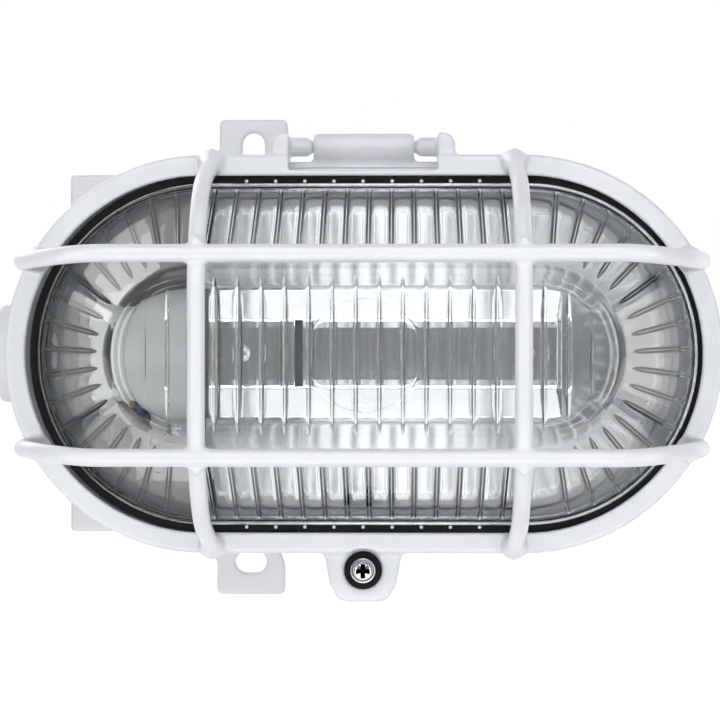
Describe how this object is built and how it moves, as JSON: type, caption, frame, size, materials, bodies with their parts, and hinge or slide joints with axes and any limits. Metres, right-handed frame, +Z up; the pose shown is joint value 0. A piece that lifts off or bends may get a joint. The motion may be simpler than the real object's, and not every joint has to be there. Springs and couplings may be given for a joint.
{
  "type": "bulkhead light",
  "caption": "Oval wall-mounted bulkhead light with a hinged one-piece plastic cage guard, a ribbed clear glass lens and a screw lampholder, closed by a captive screw.",
  "frame": {"origin": "Middle of the oval back face, on the wall plane.", "axes": "+Y into the wall, front faces -Y, +X right along the length, +Z up."},
  "size_m": [0.209, 0.0971, 0.1426],
  "materials": {
    "base_housing": "satin moulded",
    "guard": "satin moulded",
    "glass_lens": "clear pressed glass, ribbed inside",
    "lens_gasket": "plain",
    "closing_screw": "plated",
    "screw_washer": "plain",
    "threaded_insert": "turned",
    "cable_grommet": "plain",
    "reflector": "bright rolled",
    "reflector_screws": "zinc plated",
    "lampholder_body": "glazed porcelain",
    "lampholder_shell": "drawn",
    "lampholder_contact": "plain",
    "lampholder_bracket": "zinc plated",
    "holder_screws": "zinc plated",
    "bracket_screws": "zinc plated",
    "terminal_block": "moulded",
    "terminal_clamps": "turned",
    "terminal_screws": "zinc plated",
    "terminal_fixing_screw": "zinc plated",
    "live_lead": "insulated",
    "neutral_lead": "insulated"
  },
  "bodies": {
    "base": {"base_housing": "base_housing", "threaded_insert": "threaded_insert", "cable_grommet": "cable_grommet", "reflector": "reflector", "reflector_screws": "reflector_screws", "lampholder_body": "lampholder_body", "lampholder_shell": "lampholder_shell", "lampholder_contact": "lampholder_contact", "lampholder_bracket": "lampholder_bracket", "holder_screws": "holder_screws", "bracket_screws": "bracket_screws", "terminal_block": "terminal_block", "terminal_clamps": "terminal_clamps", "terminal_screws": "terminal_screws", "terminal_fixing_screw": "terminal_fixing_screw", "live_lead": "live_lead", "neutral_lead": "neutral_lead"},
    "cover": {"guard": "guard", "glass_lens": "glass_lens", "lens_gasket": "lens_gasket"},
    "washer": {"screw_washer": "screw_washer"},
    "screw": {"closing_screw": "closing_screw"}
  },
  "joints": [
    {"name": "guard_hinge", "type": "hinge", "parent": "base", "child": "cover", "pos_m": [0, -0.03, 0.0595], "axis": [-1, 0, 0], "range_deg": [0, 110]},
    {"name": "screw_lift", "type": "slide", "parent": "cover", "child": "washer", "axis": [0, -1, 0], "range_m": [0, 0.0125]},
    {"name": "screw_turn", "type": "hinge", "parent": "washer", "child": "screw", "pos_m": [0, -0.0452, -0.0608], "axis": [0, -1, 0], "range_deg": [0, 6430]}
  ],
  "couplings": [
    {"joint": "screw_turn", "follows": "screw_lift", "rad_per_m": 8976}
  ]
}
